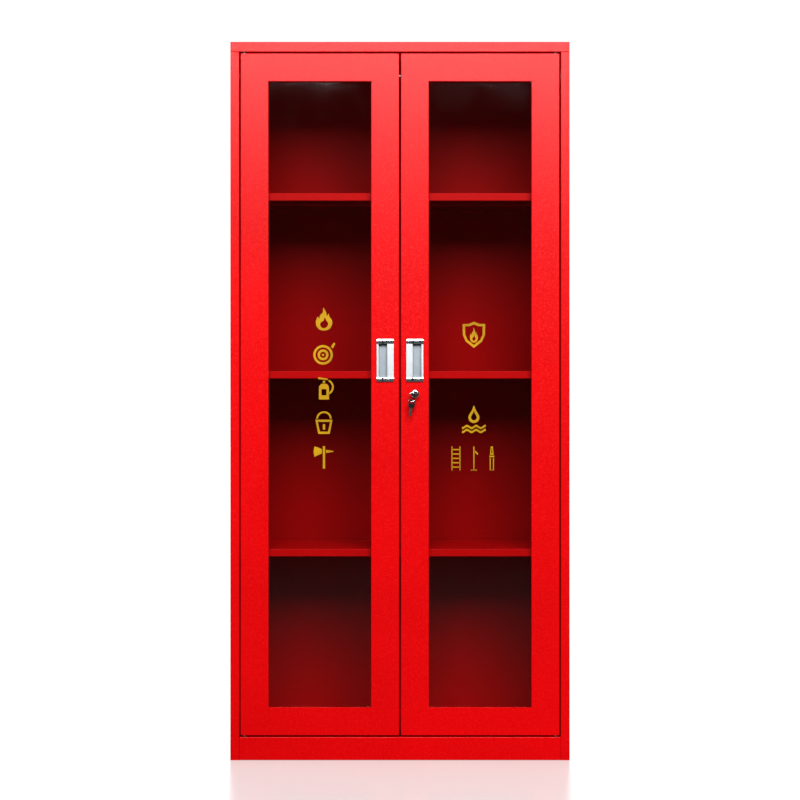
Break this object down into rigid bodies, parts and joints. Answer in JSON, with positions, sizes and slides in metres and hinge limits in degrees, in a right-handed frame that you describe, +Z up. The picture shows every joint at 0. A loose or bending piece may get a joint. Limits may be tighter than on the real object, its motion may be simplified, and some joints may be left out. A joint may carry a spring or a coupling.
{
  "type": "standpipe cabinet",
  "caption": "Free-standing red steel fire-equipment cabinet with glazed double doors, shelves on slotted uprights, flush pulls and a key lock with rods",
  "frame": {"origin": "on the floor, at the middle of the carcass's width and depth", "axes": "+Z up, +X to the right seen from the front, the doors face -Y"},
  "size_m": [0.85, 0.4204, 1.8],
  "materials": {
    "red_enamel": "semi-gloss powder coat with a fine orange peel",
    "red_shadow": "same powder coat, inside the carcass",
    "zinc_steel": "zinc plated",
    "chrome": "polished",
    "aluminium": "satin anodised",
    "glass": "clear float glass",
    "black_rubber": "matt",
    "white_nylon": "moulded nylon",
    "black_plastic": "moulded plastic",
    "nickel_key": "nickel plated",
    "gold_vinyl": "cut vinyl"
  },
  "bodies": {
    "cabinet": {"side_panel_left": "red_enamel", "side_panel_right": "red_enamel", "top_panel": "red_enamel", "bottom_panel": "red_enamel", "back_panel": "red_shadow", "top_panel_screws": "zinc_steel", "bottom_panel_screws": "zinc_steel", "back_panel_screws": "zinc_steel", "shelf_upright_front_left": "red_shadow", "shelf_upright_front_right": "red_shadow", "shelf_upright_rear_left": "red_shadow", "shelf_upright_rear_right": "red_shadow", "shelf_lower": "red_enamel", "shelf_middle": "red_enamel", "shelf_upper": "red_enamel", "shelf_ribs": "red_shadow", "shelf_clips": "zinc_steel", "pivot_bushes": "black_plastic", "door_bumpers": "black_rubber"},
    "door_left": {"door_left_frame": "red_enamel", "door_left_pivot_pins": "zinc_steel", "door_left_glass": "glass", "door_left_gasket": "black_rubber", "door_left_beads": "red_shadow", "door_left_bead_screws": "zinc_steel", "pull_left_profile": "aluminium", "pull_left_end_caps": "chrome", "pull_left_clamps": "zinc_steel", "pull_left_screws": "zinc_steel", "decals_left": "gold_vinyl", "left_bolt_housings": "white_nylon"},
    "door_right": {"door_right_frame": "red_enamel", "door_right_pivot_pins": "zinc_steel", "door_right_glass": "glass", "door_right_gasket": "black_rubber", "door_right_beads": "red_shadow", "door_right_bead_screws": "zinc_steel", "pull_right_profile": "aluminium", "pull_right_end_caps": "chrome", "pull_right_clamps": "zinc_steel", "pull_right_screws": "zinc_steel", "decals_right": "gold_vinyl", "lock_barrel": "chrome", "lock_nut": "zinc_steel", "rod_guides": "white_nylon"},
    "left_bolt_upper": {"left_bolt_upper": "zinc_steel"},
    "left_bolt_lower": {"left_bolt_lower": "zinc_steel"},
    "lock_plug": {"lock_plug": "chrome", "lock_cam": "zinc_steel", "lock_cam_screw": "zinc_steel", "key_blade": "nickel_key", "key_bow": "black_plastic"},
    "lock_rod_upper": {"lock_rod_upper": "zinc_steel"},
    "lock_rod_lower": {"lock_rod_lower": "zinc_steel"},
    "key_ring": {"key_ring": "chrome"},
    "spare_key": {"spare_key_blade": "nickel_key", "spare_key_bow": "black_plastic"}
  },
  "joints": [
    {"name": "door_left_hinge", "type": "hinge", "parent": "cabinet", "child": "door_left", "pos_m": [-0.3905, -0.187, 0.062], "axis": [0, 0, -1], "range_deg": [0, 110]},
    {"name": "door_right_hinge", "type": "hinge", "parent": "cabinet", "child": "door_right", "pos_m": [0.3905, -0.187, 0.062], "axis": [0, 0, 1], "range_deg": [0, 110]},
    {"name": "left_bolt_upper_slide", "type": "slide", "parent": "door_left", "child": "left_bolt_upper", "axis": [0, 0, 1], "range_m": [0, 0.016]},
    {"name": "left_bolt_lower_slide", "type": "slide", "parent": "door_left", "child": "left_bolt_lower", "axis": [0, 0, -1], "range_m": [0, 0.016]},
    {"name": "lock_turn", "type": "hinge", "parent": "door_right", "child": "lock_plug", "pos_m": [0.03725, -0.195, 0.9176], "axis": [0, -1, 0], "range_deg": [0, 90]},
    {"name": "lock_rod_upper_slide", "type": "slide", "parent": "door_right", "child": "lock_rod_upper", "axis": [0, 0, 1], "range_m": [0, 0.0192]},
    {"name": "lock_rod_lower_slide", "type": "slide", "parent": "door_right", "child": "lock_rod_lower", "axis": [0, 0, -1], "range_m": [0, 0.0192]},
    {"name": "key_ring_swing", "type": "hinge", "parent": "lock_plug", "child": "key_ring", "pos_m": [0.02975, -0.2172, 0.9176], "axis": [0, 1, 0], "range_deg": [-10, 90]},
    {"name": "spare_key_swing", "type": "hinge", "parent": "key_ring", "child": "spare_key", "pos_m": [0.02975, -0.2172, 0.89865], "axis": [1, 0, 0], "range_deg": [-35, 25]}
  ],
  "couplings": [
    {"joint": "lock_rod_upper_slide", "follows": "lock_turn", "m_per_rad": 0.0117},
    {"joint": "lock_rod_lower_slide", "follows": "lock_turn", "m_per_rad": 0.0117}
  ]
}
